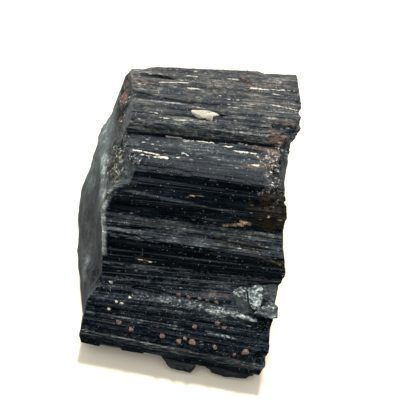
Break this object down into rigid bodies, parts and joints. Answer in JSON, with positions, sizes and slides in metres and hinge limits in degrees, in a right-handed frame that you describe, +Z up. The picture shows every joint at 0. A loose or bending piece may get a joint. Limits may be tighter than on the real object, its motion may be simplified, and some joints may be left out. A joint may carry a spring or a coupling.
{
  "type": "black tourmaline crystal",
  "caption": "Broken length of a black tourmaline prism with striated, stepped faces and rough fracture ends, lying on a flat belly.",
  "frame": {"origin": "on the plane that the crystal rests on, under the middle of its bounding box", "axes": "+X along the crystal's c axis, which its striations follow, from the sloping fracture to the upright one; -Y towards the stepped near side; +Z up"},
  "size_m": [0.0461, 0.0518, 0.0362],
  "materials": {
    "tourmaline": "black, vitreous, finely striated along its length, with duller fracture ends"
  },
  "bodies": {
    "root": {"tourmaline_crystal": "tourmaline"}
  },
  "joints": []
}
